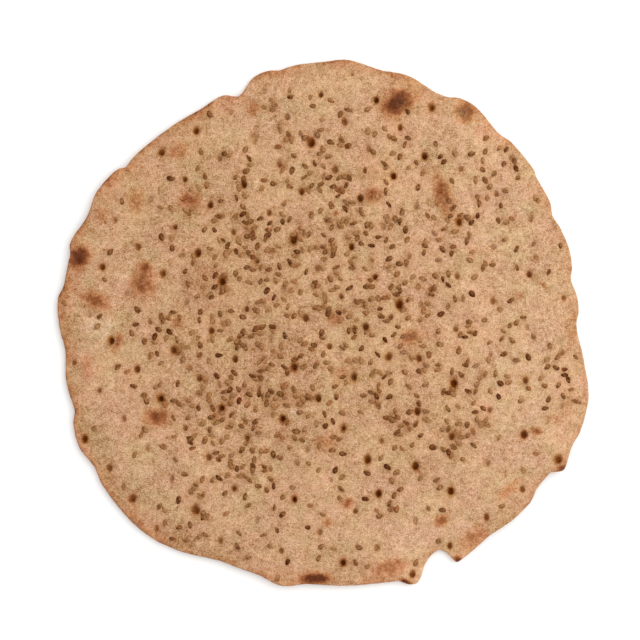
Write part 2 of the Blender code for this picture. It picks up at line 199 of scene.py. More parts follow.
# Sesame. Patches where it fell thickest: x, y, spread in mm, and the share of the ground that takes a seed
SEED_PATCHES = (
    (-3, 22, 30, 0.62), (4, 72, 17, 0.34), (-38, 38, 17, 0.40), (30, 8, 22, 0.50), (-50, -12, 22, 0.42),
    (-34, -50, 21, 0.62), (-30, -76, 13, 0.32), (46, -30, 15, 0.72), (54, -4, 14, 0.34), (78, 66, 9, 0.70),
    (62, 34, 22, 0.24), (-60, -82, 7, 0.50), (94, -26, 7, 0.42), (20, -62, 26, 0.14), (-72, -6, 16, 0.18),
)
SEED_LENGTH = 3.2 * MM
SEED_WIDTH = 2.0 * MM
SEED_SIZES = (0.86, 1.12)
SEED_COUNT = 322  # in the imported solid
STRAY_SHARE = 0.03  # share of the ground that takes a seed far from the patches
SEED_SPACING = 3.9 * MM
SEED_PIT_GAP = 1.3 * MM + SEED_LENGTH / 2  # from a seed's middle to a pit's rim
SEED_MARGIN = 5 * MM
SEED_TRIES = 60000
RANDOM_SEED = 11

# The finer strewing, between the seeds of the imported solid, in patches of its own
CLOSE_PATCHES = (
    (-8, 74, 15, 0.7), (22, 76, 14, 0.35), (-14, 52, 16, 0.7), (12, 46, 14, 0.05), (4, 20, 18, 0.7),
    (-32, 30, 12, 0.6), (-32, 8, 14, 1.1), (34, 12, 11, 0.6), (-2, -12, 14, 1.2), (-12, -34, 12, 0.8),
    (-38, -34, 12, 0.5), (51, -36, 9, 2.6), (39, -32, 10, 1.0), (56, 46, 12, 0.2), (76, 68, 9, 1.1),
    (94, -16, 9, 0.9), (70, -8, 10, 0.5), (-33, -58, 10, 0.9), (-56, -78, 7, 1.4), (36, -12, 14, 0.7),
    (-60, -8, 12, 0.3), (54, 30, 10, 0.7), (-58, -34, 12, 0.5), (34, -72, 9, 0.7), (56, -76, 10, 0.15),
    (50, -32, 8, 0.8), (-79, -77, 10, -0.06), (7, -80, 9, -0.3),
)
CLOSE_SPACING = 1.6 * MM
CLOSE_PIT_GAP = 1.1 * MM
CLOSE_MARGIN = 2.6 * MM
CLOSE_SIZES = (0.84, 1.14)

# The form of a seed, and how it lies. Angles are in radians.
SEED_SIDES = 8
SEED_RINGS = 7
SEED_FULLNESS = 1.24  # width of its blunt end, as a share of its width
SEED_TAPER = 0.30  # how much of that its pointed end has lost
SEED_FLATTENING = 0.25  # how far its thickness follows that taper
SEAM_REACH = 0.46  # share of its thickness, from the middle, where its seam has faded out
SINKING = 1.2  # above 1, more seeds stand proud of the crust than lie sunk in it
SIDE_LEAN = 0.36  # spread of the angle by which a seed lies on its side
SIDE_LEAN_MOST = 0.65
END_LEAN_MOST = 0.22  # the most that one of its ends stands up

# The looks of a seed. A tone of 0 is the darkest husk, 0.8 the palest, and 1 a seed without its husk.
SEED_TONE = (0.43, 0.17)  # middle and spread
SEED_TONE_MOST = 0.64
SUNK_TONE = 0.14  # how much paler the most sunk seeds are, under a film of flour
SEAM_AND_SHADE_STRENGTHS = (0.85, 0.95)  # weakest and strongest darkening by the seam and the painted shade, before the seed's tone is taken off
SEAM_ALL_ROUND = 0.12  # share of it that shows all round the seed
SHADE_OVERLAP = 0.30  # how far a seed's painted shade reaches past its middle from its shaded side, as a share of its width
SHADED_SIDE = (-0.5, -0.6)  # the side on which each seed is painted with shade: for most seeds the lower left of the top, away from the key light
SHADED_SIDE_SPREAD = 0.6
CHARRING = (1.3, 0.3)  # a seed is charred by so many times the strength of the mark it lies on, less this
HULLED_TONE = 1.4  # past 1 even where the husk's tone would be darkest
HULLED_REACH = 2.2  # mm; seeds this near to one of these places have lost their husk
HULLED_SEEDS = ((83.4, 21.4), (-41.6, -74.9), (-57.0, 57.5))

# The stage
FLOOR_REACH = 3.0
FLOOR_GAP = 0.1 * MM  # between the floor and the bread's lowest point
KEY_SIZE = 1.1
KEY_PLACE = (0.39, 0.25, 0.52)
SENSOR_WIDTH = 36  # mm
NEAREST_VIEW = 0.01


def clamp(value, least=0.0, most=1.0):
    return min(max(value, least), most)


def smooth_step(t):
    t = clamp(t)
    return t * t * (3 - 2 * t)


def between(ends, share):
    """The value at a share of the way from the first end to the second."""
    return ends[0] + (ends[1] - ends[0]) * share


def bearing_of(point):
    """Degrees anticlockwise from +X, from 0 up to but not 360, as a tiny negative angle rounds to 360."""
    return math.degrees(math.atan2(point.y, point.x)) % 360 % 360


def degrees_from(bearing, point):
    """How far a point lies round from a bearing, from -180 to 180."""
    return (bearing_of(point) - bearing + 180) % 360 - 180


def unevenness(point, length):
    """Noise from -1 to 1, with lumps of about this length."""
    return noise.noise((point / length).to_3d())


def search_tree(points):
    """A tree that finds the points near a place, by their numbers."""
    tree = KDTree(len(points))
    for number, point in enumerate(points):
        tree.insert(point.to_3d(), number)
    tree.balance()
    return tree


def edge_slopes():
    """Slope of the edge's radius at each of its points, in mm a degree, so that no point is overshot."""
    count = len(EDGE_POINTS)
    rises = []
    for k, (bearing, radius) in enumerate(EDGE_POINTS):
        next_bearing, next_radius = EDGE_POINTS[(k + 1) % count]
        rises.append((next_radius - radius) / ((next_bearing - bearing) % 360))
    slopes = []
    for k in range(count):
        before, after = rises[k - 1], rises[k]
        slopes.append(2 * before * after / (before + after) if before * after > 0 else 0.0)
    return slopes


def edge_radius(k, share, slopes):
    """Radius of the edge, in metres, at a share of the way from point k to the next."""
    bearing, radius = EDGE_POINTS[k]
    next_bearing, next_radius = EDGE_POINTS[(k + 1) % len(EDGE_POINTS)]
    span = (next_bearing - bearing) % 360
    rise = smooth_step(share)
    bend = share * (1 - share) * span
    leaving = slopes[k] * bend * (1 - share)
    arriving = slopes[(k + 1) % len(slopes)] * bend * share
    return (radius + (next_radius - radius) * rise + leaving - arriving) * MM


def edge_ring(longest_step):
    """The edge seen from above, anticlockwise, with a corner at each named point."""
    slopes = edge_slopes()
    ring = []
    for k, (bearing, radius) in enumerate(EDGE_POINTS):
        next_bearing, next_radius = EDGE_POINTS[(k + 1) % len(EDGE_POINTS)]
        span = (next_bearing - bearing) % 360
        stretch = math.hypot(radius * math.radians(span), next_radius - radius) * MM
        steps = math.ceil(stretch / longest_step)
        for step in range(steps):
            share = step / steps
            angle = math.radians(bearing + span * share)
            ring.append(Vector((math.cos(angle), math.sin(angle))) * edge_radius(k, share, slopes))
    return ring


def inset_ring(ring, distance):
    """The ring moved inwards, square to itself."""
    moved = []
    for k, point in enumerate(ring):
        along = (ring[(k + 1) % len(ring)] - ring[k - 1]).normalized()
        moved.append(point + Vector((-along.y, along.x)) * distance)
    return moved


class Edge:
    """Answers how far out a point lies, along the radius through it."""

    def __init__(self, ring):
        self.radii = [point.length for point in ring] + [ring[0].length]
        self.bearings = [bearing_of(point) for point in ring] + [360.0]

    def radius(self, point):
        bearing = bearing_of(point)
        k = bisect.bisect_right(self.bearings, bearing) - 1
        share = (bearing - self.bearings[k]) / (self.bearings[k + 1] - self.bearings[k])
        return self.radii[k] + (self.radii[k + 1] - self.radii[k]) * share

    def share(self, point):
        """0 at the origin and 1 at the edge."""
        return point.length / self.radius(point)

    def depth(self, point):
        """Distance in from the edge."""
        return self.radius(point) - point.length


def lift(point, edge):
    """Height of the underside above the table."""
    out = smooth_step((edge.share(point) - LIFT_STARTS) / (1 - LIFT_STARTS))
    if out == 0:
        return 0.0
    rise = 0.0
    for middle, half_width, height in LIFTS:
        rise += height * MM * math.exp(-((degrees_from(middle, point) / half_width) ** 2))
    return rise * out**LIFT_CURVE


def mark_spread(point, x, y, half_length, half_width, turn):
    """Square of the distance from a mark's middle, in the mark's own half sizes."""
    away = Matrix.Rotation(-math.radians(turn), 2) @ (point / MM - Vector((x, y)))
    return (away.x / half_length) ** 2 + (away.y / half_width) ** 2


def blister(point):
    height = 0.0
    for x, y, half_length, half_width, turn, rise in BLISTERS:
        height += rise * MM * math.exp(-mark_spread(point, x, y, half_length, half_width, turn))
    return height


def scorch(point):
    """How strongly the oven marked the top here."""
    strength = 0.0
    for x, y, half_length, half_width, turn, most in SCORCHES:
        if (point / MM - Vector((x, y))).length < SCORCH_REACH * half_length:
            squared = mark_spread(point, x, y, half_length, half_width, turn)
            strength += most * math.exp(-(squared**SCORCH_EDGE))
    return strength


def pass_points(first, along, across, bend_along, bend_across):
    """Grid points of one pass of the roller, in metres."""
    for u in range(-PASS_REACH, PASS_REACH):
        for v in range(-PASS_REACH, PASS_REACH):
            x = first[0] + u * along[0] + v * across[0] + u * u * bend_along[0] + v * v * bend_across[0]
            y = first[1] + u * along[1] + v * across[1] + u * u * bend_along[1] + v * v * bend_across[1]
            yield Vector((x, y)) * MM


def roller_points():
    """Grid points of both passes, each on its own side of the line where they meet."""
    line_x, line_slope = PASS_LINE
    straight = (0.0, 0.0)
    first = pass_points(FIRST_PIT, FIRST_ALONG, FIRST_ACROSS, FIRST_BEND_ALONG, FIRST_BEND_ACROSS)
    second = pass_points(SECOND_PIT, SECOND_ALONG, SECOND_ACROSS, straight, straight)
    points = [point for point in first if point.x < line_x * MM + line_slope * point.y]
    points += [point for point in second if point.x >= line_x * MM + line_slope * point.y]
    return points


def docking_pits(edge, rng):
    """Middle and radius of each pit."""
    pits = []
    for point in roller_points():
        pit = point + Vector((rng.uniform(-PIT_WANDER, PIT_WANDER), rng.uniform(-PIT_WANDER, PIT_WANDER)))
        radius = rng.uniform(*PIT_RADII)
        far_enough = all((pit - other).length > 2 * DIMPLE_RADIUS for other, _ in pits)
        if edge.depth(pit) > PIT_MARGIN and far_enough:
            pits.append((pit, radius))
    return pits


def patch_share(point, patches, least):
    """The least share, raised by each patch of a table that the point lies in."""
    share = least
    for x, y, spread, most in patches:
        away = (point / MM - Vector((x, y))).length / spread
        share += most * math.exp(-away * away / 2)
    return share


def strew(strewn, count, plan, rng, patches, sizes, margin, pit_gap, spacing):
    """Adds seeds up to the count: the place, turn and size of each."""
    reach = max(plan.edge.radii)
    for _ in range(SEED_TRIES):
        if len(strewn) >= count:
            break
        point = Vector((rng.uniform(-reach, reach), rng.uniform(-reach, reach)))
        turn, size, luck = rng.uniform(0, math.tau), rng.uniform(*sizes), rng.random()
        if plan.edge.depth(point) < margin or luck > patch_share(point, patches, STRAY_SHARE):
            continue
        if any((point - pit).length < pit_gap + radius for pit, radius in plan.pits):
            continue
        if any((point - other).length < spacing for other, _, _ in strewn):
            continue
        strewn.append((point, turn, size))


class Plan:
    """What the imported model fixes: edge, pits and seeds, and the heights of the top and the underside."""

    def __init__(self):
        rng = random.Random(RANDOM_SEED)
        ring = edge_ring(EDGE_STEP)
        self.edge = Edge(ring)
        self.outline = Edge(edge_ring(FINE_STEP))
        self.pits = docking_pits(self.edge, rng)
        self.seeds = []
        gaps = SEED_MARGIN, SEED_PIT_GAP, SEED_SPACING
        strew(self.seeds, SEED_COUNT, self, rng, SEED_PATCHES, SEED_SIZES, *gaps)
        self.mouths = [self.torn_radius(pit, radius) for pit, radius in self.pits]
        self.openness = [rng.random() for _ in self.pits]
        middle_x = (min(point.x for point in ring) + max(point.x for point in ring)) / 2
        middle_y = (min(point.y for point in ring) + max(point.y for point in ring)) / 2
        self.to_origin = Matrix.Translation((-middle_x, -middle_y, 0))
        self.pit_tree = search_tree([pit for pit, _ in self.pits])

    def torn_radius(self, pit, radius):
        """The pit's radius, or that of a torn pit if it is one of those."""
        torn = any((pit / MM - Vector(place)).length < DIMPLE_RADIUS / MM for place in WIDE_PITS)
        return WIDE_PIT_RADIUS if torn else radius

    def nearest_pit(self, point):
        """Number of the pit nearest to a point."""
        return self.pit_tree.find(point.to_3d())[1]

    def dimple(self, point):
        depth = 0.0
        for _, _, distance in self.pit_tree.find_range(point.to_3d(), DIMPLE_REACH * DIMPLE_RADIUS):
            away = distance / DIMPLE_RADIUS
            depth += DIMPLE_DEPTH * math.exp(-away * away)
        return depth

    def underside(self, point):
        return lift(point, self.edge)

    def top(self, point):
        thinned = smooth_step(self.edge.depth(point) / EDGE_TAPER)
        thickness = between((EDGE_THICKNESS, THICKNESS), thinned)
        swell = SWELL * unevenness(point, SWELL_LENGTH)
        return self.underside(point) + thickness + swell + blister(point) - self.dimple(point)


@functools.cache
def bread_plan():
    return Plan()


@functools.cache
def strewn_seeds(count):
    """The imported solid's seeds and, between them, the finer strewing, up to the count."""
    plan = bread_plan()
    rng = random.Random(RANDOM_SEED + 1)
    strewn = list(plan.seeds)
    strew(strewn, count, plan, rng, CLOSE_PATCHES, CLOSE_SIZES, CLOSE_MARGIN, CLOSE_PIT_GAP, CLOSE_SPACING)
    return strewn


def linear(hex_colour):
    """The linear colour of an sRGB hex value, with full alpha."""
    channels = [int(hex_colour[k : k + 2], 16) / 255 for k in (1, 3, 5)]
    return (*[c / 12.92 if c <= 0.04045 else ((c + 0.055) / 1.055) ** 2.4 for c in channels], 1.0)


def colour_property(name, hex_colour, description):
    colour = linear(hex_colour)
    return bpy.props.FloatVectorProperty(
        name=name, description=description, subtype="COLOR", size=4, min=0, max=1, default=colour
    )


def length_property(name, length, description, least=0.0):
    return bpy.props.FloatProperty(
        name=name, description=description, unit="LENGTH", min=least, precision=5, default=length
    )


class FlatbreadCrustSettings(bpy.types.PropertyGroup):
    """The crust's fineness, relief and colours."""

    segments: bpy.props.IntProperty(
        name="Segments", description="Faces along each side of the top's grid", default=236, min=16
    )
    edge_steps: bpy.props.IntProperty(
        name="Edge steps", description="Faces round the edge, from top to underside", default=8, min=2
    )
    relief: length_property("Relief", 0.10 * MM, "Height of the fine unevenness of the top")
    relief_length: length_property("Relief length", 3.2 * MM, "Width of one bump of the fine unevenness")
    edge_wear: length_property("Edge wear", 0.28 * MM, "How far the worn edge falls short of its outline")
    grain: length_property("Grain", 0.5 * MM, "Width of a grain of the meal that shows in the crust")
    grain_height: length_property("Grain height", 0.04 * MM, "How far the grains stand out")
    flour: colour_property("Flour", "#D8BCA2", "Where raw flour still lies on the crust")
    crust: colour_property("Crust", "#B99371", "The plain baked crust")
    blush: colour_property("Blush", "#AC7852", "Where the crust starts to scorch")
    browned: colour_property("Browned", "#87502D", "Where the crust is browned")
    burnt: colour_property("Burnt", "#5C2E19", "Where the crust is burnt")
    pit_rim: colour_property("Pit rim", "#AB7F59", "The dough round a docking pit")
    # The pit colours are browned dough, with painted shade that grows darker towards the floor of the hole
    pit_wall_and_shade: colour_property("Pit wall", "#8E5B32", "The dried dough of a pit's wall")
    pit_floor_and_shade: colour_property("Pit floor", "#6A3405", "The dried dough deep in a docking pit")


class FlatbreadSesameSettings(bpy.types.PropertyGroup):
    """The seeds' number, size and colours."""

    count: bpy.props.IntProperty(name="Count", description="Seeds on the top", default=865, min=1)
    thickness: length_property("Thickness", 0.85 * MM, "Thickness of a seed")
    proud: length_property("Proud", 0.49 * MM, "How far the least sunk seeds stand out of the crust")
    sunk: length_property("Sunk", 0.28 * MM, "How far the most sunk seeds stand out of the crust")
    dark: colour_property("Dark husk", "#532504", "The darkest seeds")
    middle: colour_property("Brown husk", "#875932", "Most seeds")
    pale: colour_property("Pale husk", "#AA7C54", "The palest seeds, under a film of flour")
    hulled: colour_property("Hulled", "#E2C9A2", "The few seeds that lost their husk")
    # The seam colour also paints the shade on each seed's shaded side
    seam: colour_property("Seam", "#401902", "The dark line round a seed's flat side")


class FlatbreadStageSettings(bpy.types.PropertyGroup):
    """The floor, the lights and the camera."""

    view_width: length_property("View width", 262.4 * MM, "Width of the ground that the camera sees")
    lens: bpy.props.FloatProperty(
        name="Lens", description="Focal length", unit="CAMERA", default=100, min=10
    )
    aim_x: length_property("Aim X", -1.2 * MM, "Where the camera looks straight down", least=-1)
    aim_y: length_property("Aim Y", 1.15 * MM, "Where the camera looks straight down", least=-1)
    key_power: bpy.props.FloatProperty(
        name="Key", description="Power of the large soft light", unit="POWER", default=3.95, min=0
    )
    sky: bpy.props.FloatProperty(
        name="Sky", description="Strength of the white surroundings", default=0.92, min=0
    )
    floor: colour_property("Floor", "#FCFCFB", "The plain pale floor")


def add_node(tree, kind, inputs=None, **settings):
    """Adds a node. An input is a value, or what it is linked from: a socket, or a node's first output."""
    made = tree.nodes.new("ShaderNode" + kind)
    for name, value in settings.items():
        setattr(made, name, value)
    for key, value in (inputs or {}).items():
        if isinstance(value, bpy.types.Node):
            value = value.outputs[0]
        if isinstance(value, bpy.types.NodeSocket):
            tree.links.new(value, made.inputs[key])
        else:
            made.inputs[key].default_value = value
    return made


def set_stops(ramp, stops):
    """Gives a colour ramp its stops, as pairs of place and colour."""
    elements = ramp.color_ramp.elements
    while len(elements) < len(stops):
        elements.new(1.0)
    for element, (place, colour) in zip(elements, stops):
        element.position = place
        element.color = colour


def new_material(name):
    """A material with only its shader and output, and its node tree."""
    material = bpy.data.materials.new(name)
    material.use_nodes = True
    return material, material.node_tree


def baked_dough(settings):
    """Baked barley dough: matt and floury, full of coarse meal that gives it a fine grain, blushing and
    then browning where the oven marked it. Its grain is drawn at the width of a meal particle."""
    material, tree = new_material("baked_barley_dough")
    add = functools.partial(add_node, tree)
    shader = tree.nodes["Principled BSDF"]
    place = add("TexCoord").outputs["Object"]
    bake_and_shade, stain_and_shade, under, shade = [
        add("Attribute", attribute_name=name).outputs["Fac"]
        for name in ("bake_and_shade", "stain_and_shade", "underside", "shade")
    ]
    # Each kind of lump: its width, its detail, the part of the noise's range that shows, what it runs to
    lumps = {}
    for name, width, detail, start, end, least, most in (
        ("grain", settings.grain, 2, 0.3, 0.7, -1, 1),
        ("clumps", 1.5 * MM, 2, 0.3, 0.7, -1, 1),
        ("patches", 4.2 * MM, 2, 0.3, 0.7, -1, 1),
        ("drift", 19 * MM, 2, 0.3, 0.7, -1, 1),
        ("ragged", 2.4 * MM, 4, 0.3, 0.7, 0, 1),
        ("pinkness", 9 * MM, 3, 0.3, 0.7, 0, 1),
        ("bran", 1.9 * MM, 1, 0.62, 0.74, 0, 0.12),
        ("stone", 8 * MM, 4, 0.52, 0.72, 0, 0.75),
    ):
        lump = add("TexNoise", {"Vector": place, "Scale": 1 / width, "Detail": detail})
        shown = {"Value": lump, "From Min": start, "From Max": end, "To Min": least, "To Max": most}
        lumps[name] = add("MapRange", shown)

    # The oven marks fray out into single browned grains
    weak = add("MapRange", {"Value": bake_and_shade, "From Max": 0.35, "To Max": 0.38})
    eaten = add("Math", {0: lumps["ragged"], 1: weak}, operation="MULTIPLY")
    marked = add("Math", {0: bake_and_shade, 1: 1.5, 2: lumps["bran"]}, operation="MULTIPLY_ADD")
    marked = add("Math", {0: marked, 1: eaten}, operation="SUBTRACT")
    marked = add("Math", {0: lumps["drift"], 1: 0.05, 2: marked}, operation="MULTIPLY_ADD")
    # The underside lay on the hot stone, which browned it in spots
    hot = add("Math", {0: lumps["drift"], 1: 0.55, 2: 0.85}, operation="MULTIPLY_ADD")
    spots = add("Math", {0: lumps["stone"], 1: hot}, operation="MULTIPLY")
    marked = add("Math", {0: spots, 1: under, 2: marked}, operation="MULTIPLY_ADD")
    marked = add("MapRange", {"Value": marked, "From Min": -0.4})
    baked = add("ValToRGB", {"Fac": marked})
    set_stops(
        baked,
        (
            (0.0, settings.flour),
            (0.29, settings.crust),
            (0.45, settings.blush),
            (0.68, settings.browned),
            (0.95, settings.burnt),
        ),
    )
    # The brown and the painted shade of a pit spread unevenly too
    patchy = add("Math", {0: lumps["ragged"], 1: 0.6, 2: 0.7}, operation="MULTIPLY_ADD")
    stain_and_shade = add("Math", {0: stain_and_shade, 1: patchy}, operation="MULTIPLY")
    stained_and_shaded = add("ValToRGB", {"Fac": stain_and_shade})
    set_stops(stained_and_shaded, ((0.3, settings.pit_rim), (0.6, settings.pit_wall_and_shade), (1.0, settings.pit_floor_and_shade)))
    cover = add("MapRange", {"Value": stain_and_shade, "From Max": 0.4})
    mixed = add("Mix", {0: cover, 6: baked, 7: stained_and_shaded}, data_type="RGBA").outputs[2]

    # The meal's grains are paler and darker than each other, the paler ones whiter too
    uneven = add("Math", {0: shade, 1: -1.0}, operation="MULTIPLY")
    shares = {"grain": 0.40, "clumps": 0.18, "patches": 0.14, "drift": 0.16, "bran": -1.0}
    for name, share in shares.items():
        uneven = add("Math", {0: lumps[name], 1: share, 2: uneven}, operation="MULTIPLY_ADD")
    grained = {0: uneven, 1: (0.80, 1.03, 1.34), 2: (1, 1, 1)}
    value = add("VectorMath", grained, operation="MULTIPLY_ADD")
    # Some of it is pinker and some yellower, in wide patches and in specks about 4 mm wide
    hue = add("ValToRGB", {"Fac": lumps["pinkness"]})
    set_stops(hue, ((0.0, (1.05, 0.965, 0.99, 1.0)), (1.0, (0.97, 1.02, 0.93, 1.0))))
    specked = {"Vector": place, "Scale": 1 / (4 * MM), "Detail": 3, "Roughness": 0.8}
    specks = add("TexNoise", specked).outputs["Color"]
    specked = {0: specks, 1: (0.07, 0, 0.30), 2: (0.965, 1, 0.85)}
    tint = add("VectorMath", specked, operation="MULTIPLY_ADD")
    colour = mixed
    for factor in (value, hue, tint):
        colour = add("VectorMath", {0: colour, 1: factor}, operation="MULTIPLY")
    tree.links.new(colour.outputs[0], shader.inputs["Base Color"])

    height = {0: lumps["clumps"], 1: 2, 2: lumps["grain"]}
    height = add("Math", height, operation="MULTIPLY_ADD")
    bump = add("Bump", {"Distance": settings.grain_height, "Height": height})
    tree.links.new(bump.outputs["Normal"], shader.inputs["Normal"])
    shader.inputs["Roughness"].default_value = 0.86
    shader.inputs["Specular IOR Level"].default_value = 0.12
    shader.inputs["IOR"].default_value = 1.45
    return material


def sesame_husk(settings):
    """Unhulled sesame, toasted: a dull brown husk, a little oily, with a dark seam round its flat side and
    painted shade on one side.
    """
    material, tree = new_material("toasted_sesame_husk")
    add = functools.partial(add_node, tree)
    shader = tree.nodes["Principled BSDF"]
    place = add("TexCoord").outputs["Object"]
    tone, seam, hue = [
        add("Attribute", attribute_name=name).outputs["Fac"]
        for name in ("tone", "seam", "hue")
    ]
    # The husk is worn pale in places about 1 mm wide
    worn = add("TexNoise", {"Vector": place, "Scale": 1 / (0.9 * MM), "Detail": 3})
    change = {"Value": worn, "From Min": 0.3, "From Max": 0.7, "To Min": -0.35, "To Max": 0.31}
    change = add("MapRange", change)
    toned = add("Math", {0: tone, 1: change}, operation="ADD")
    husk = add("ValToRGB", {"Fac": toned})
    set_stops(
        husk,
        (
            (0.0, settings.dark),
            (0.4, settings.middle),
            (0.8, settings.pale),
            (0.95, settings.pale),
            (1.0, settings.hulled),
        ),
    )
    # The seam colour is also painted shade on each seed's shaded side
    mixed = add("Mix", {0: seam, 6: husk, 7: settings.seam}, data_type="RGBA").outputs[2]
    # A few seeds are rusty, some olive and some a cool grey
    tint = add("ValToRGB", {"Fac": hue})
    set_stops(
        tint,
        (
            (0.0, (0.88, 0.70, 0.60, 1.0)),
            (0.06, (1.0, 0.92, 0.86, 1.0)),
            (0.35, (0.98, 0.97, 0.95, 1.0)),
            (0.85, (0.91, 0.96, 0.86, 1.0)),
            (1.0, (0.91, 0.92, 1.08, 1.0)),
        ),
    )
    colour = add("VectorMath", {0: mixed, 1: tint}, operation="MULTIPLY")
    tree.links.new(colour.outputs[0], shader.inputs["Base Color"])
    bump = add("Bump", {"Strength": 0.5, "Distance": 0.05 * MM, "Height": worn})
    tree.links.new(bump.outputs["Normal"], shader.inputs["Normal"])
    shader.inputs["Roughness"].default_value = 0.6
    shader.inputs["Specular IOR Level"].default_value = 0.07
    shader.inputs["IOR"].default_value = 1.47
    return material


def finished_piece(name, bm, material):
    mesh = bpy.data.meshes.new(name)
    bm.to_mesh(mesh)
    bm.free()
    mesh.transform(bread_plan().to_origin)
    mesh.shade_smooth()
    mesh.materials.append(material)
    piece = bpy.data.objects.new(name, mesh)
    bpy.context.scene.collection.objects.link(piece)
    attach(piece, BODY)
    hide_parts(NODE)
    return piece


def disc_place(x, y):
    """Where a point of the square from -1 to 1 goes when the square is spread evenly over a round disc."""
    if abs(x) >= abs(y):
        share, turn = x, (math.pi / 4 * y / x if x else 0.0)
    else:
        share, turn = y, math.pi / 2 - math.pi / 4 * x / y
    return Vector((math.cos(turn), math.sin(turn))) * share


def flat_sheet(bm, segments, outline, margin):
    """The vertices of a square grid spread flat over the outline, short of it by the margin."""
    verts = bmesh.ops.create_grid(bm, x_segments=segments, y_segments=segments, size=1)["verts"]
    for vert in verts:
        place = disc_place(vert.co.x, vert.co.y)
        if place.length > 0:
            place *= outline.radius(place) - margin
        vert.co = place.to_3d()
    return verts


def in_order(verts):
    """The vertices of a ring, anticlockwise."""
    return sorted(verts, key=lambda vert: bearing_of(vert.co))


def rim_of(verts):
    """The boundary vertices of a flat sheet, anticlockwise."""
    return in_order(vert for vert in verts if vert.is_boundary)


def edges_between(ring):
    """The edges of a closed ring of vertices."""
    found = []
    for k, vert in enumerate(ring):
        found.append(next(edge for edge in vert.link_edges if edge.other_vert(vert) is ring[k - 1]))
    return found


def worn_edge(ring, settings):
    """The ring with its crumbs gone, so that it never stands out of the outline."""
    worn = []
    for point in ring:
        share = between((WEAR_LEAST, 1.0), 0.5 + 0.5 * unevenness(point, WEAR_LENGTH))
        worn.append(point * (1 - settings.edge_wear * share / point.length))
    return worn


def in_pit(point, pit):
    """The point as seen from the pit's middle, with the stretch of the pit taken out."""
    across, along = PIT_STRETCH
    return Vector(((point.x - pit.x) / across, (point.y - pit.y) / along))


def corner_turns(mouth, pit):
    """The angle of each corner of a pit's mouth, kept in order so that no wall folds over."""
    seen = [in_pit(vert.co, pit) for vert in mouth.verts]
    turns = [math.atan2(away.y, away.x) for away in seen]
    steps = [(turn - turns[k - 1] + math.pi) % math.tau - math.pi for k, turn in enumerate(turns)]
    way = math.copysign(1, sum(steps))
    steps = [max(step * way, LEAST_TURN) for step in steps]
    ordered = [turns[-1]]
    for step in steps:
        ordered.append(ordered[-1] + way * step * math.tau / sum(steps))
    return ordered[1:]


def linked(vert):
    """The vertices that share an edge with this one."""
    return [edge.other_vert(vert) for edge in vert.link_edges]


def even_out(bm, verts):
    """Moves vertices of a flat sheet towards the middle of their neighbours."""
    bmesh.ops.smooth_vert(bm, verts=verts, factor=EVENING, use_axis_x=True, use_axis_y=True)


def cut_pits(bm, faces, plan, depth_layer):
    """Opens a hole for each docking pit in the flat top and gives it its wall and floor."""
    tree = search_tree([face.calc_center_median() for face in faces])
    chosen = set()
    for (pit, _), radius in zip(plan.pits, plan.mouths):
        reach = radius * PIT_MOUTH
        for middle, number, _ in tree.find_range(pit.to_3d(), reach * max(PIT_STRETCH)):
            if in_pit(middle, pit).length < reach:
                chosen.add(number)
    opened = [faces[number] for number in sorted(chosen)]
    mouths = bmesh.ops.dissolve_faces(bm, faces=opened, use_verts=True)["region"]
    owners = [plan.nearest_pit(mouth.calc_center_median().xy) for mouth in mouths]
    for share, depth in ((PIT_MOUTH, 0.0), *PIT_PROFILE):
        if depth > 0:
            bmesh.ops.inset_individual(bm, faces=mouths, thickness=PIT_INSET)
        for mouth, number in zip(mouths, owners):
            pit, radius = plan.pits[number][0], plan.mouths[number]
            for vert, turn in zip(mouth.verts, corner_turns(mouth, pit)):
                away = Vector((math.cos(turn), math.sin(turn)))
                wobble = 1 + PIT_WOBBLE * noise.noise(away.to_3d() + (pit / MM).to_3d())
                vert.co = (pit + away * Vector(PIT_STRETCH) * radius * share * wobble).to_3d()
                vert[depth_layer] = depth
        if depth == 0:
            rims = {vert for mouth in mouths for vert in mouth.verts}
            around = [vert for vert in bm.verts if vert not in rims and not rims.isdisjoint(linked(vert))]
            even_out(bm, around)
    for vert in bmesh.ops.poke(bm, faces=mouths)["verts"]:
        vert[depth_layer] = 1.0


def stain_and_shade_top(bm, plan, seeds, layer):
    """Browns the dough round the pits, paints shade deep in them, and darkens it faintly round the seeds.
    """
    rng = random.Random(RANDOM_SEED + 2)
    strengths = [between(PIT_STAINS_AND_SHADE, openness) for openness in plan.openness]
    widths = []
    for (_, radius), mouth in zip(plan.pits, plan.mouths):
        widths.append(rng.uniform(*PIT_STAIN_AND_SHADE_RADII) * mouth / radius)
    tree = search_tree([point for point, _, _ in seeds])
    for vert in bm.verts:
        point = vert.co.xy
        number = plan.nearest_pit(point)
        away = in_pit(point, plan.pits[number][0]).length / widths[number]
        stain_and_shade = strengths[number] * math.exp(-away * away)
        # The dough is drawn faintly darker round each seed
        for _, _, distance in tree.find_range(point.to_3d(), 2 * SEED_DARKENING_RADIUS):
            stain_and_shade += SEED_DARKENING * math.exp(-((distance / SEED_DARKENING_RADIUS) ** 2))
        vert[layer] = clamp(stain_and_shade) * (1 - clamp(scorch(point)))


